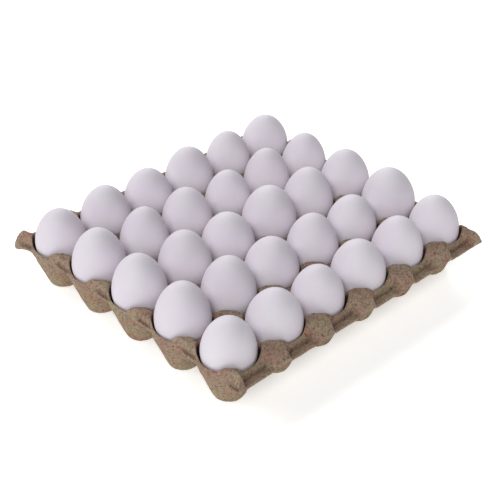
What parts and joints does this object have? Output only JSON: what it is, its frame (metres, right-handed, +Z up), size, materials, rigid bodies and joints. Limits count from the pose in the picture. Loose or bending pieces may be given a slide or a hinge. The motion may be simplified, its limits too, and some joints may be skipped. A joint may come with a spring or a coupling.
{
  "type": "egg tray with eggs",
  "caption": "Open tray of grey-brown moulded paper pulp, with a white egg standing in each of its cone-shaped cups, broad posts between the cups and a narrow shelf along each long side.",
  "frame": {"origin": "on the ground under the middle of the tray", "axes": "+Z up; +X along the six cups of a row; +Y along the five cups of a column"},
  "size_m": [0.288, 0.2732, 0.0759],
  "materials": {
    "pulp": "rough matt grey-brown moulded paper pulp, fibrous and slightly mottled",
    "eggshell": "smooth white eggshell with a soft low sheen"
  },
  "bodies": {
    "root": {"tray": "pulp", "egg_1_1": "eggshell", "egg_2_1": "eggshell", "egg_3_1": "eggshell", "egg_4_1": "eggshell", "egg_5_1": "eggshell", "egg_6_1": "eggshell", "egg_1_2": "eggshell", "egg_2_2": "eggshell", "egg_3_2": "eggshell", "egg_4_2": "eggshell", "egg_5_2": "eggshell", "egg_6_2": "eggshell", "egg_1_3": "eggshell", "egg_2_3": "eggshell", "egg_3_3": "eggshell", "egg_4_3": "eggshell", "egg_5_3": "eggshell", "egg_6_3": "eggshell", "egg_1_4": "eggshell", "egg_2_4": "eggshell", "egg_3_4": "eggshell", "egg_4_4": "eggshell", "egg_5_4": "eggshell", "egg_6_4": "eggshell", "egg_1_5": "eggshell", "egg_2_5": "eggshell", "egg_3_5": "eggshell", "egg_4_5": "eggshell", "egg_5_5": "eggshell", "egg_6_5": "eggshell"}
  },
  "joints": []
}
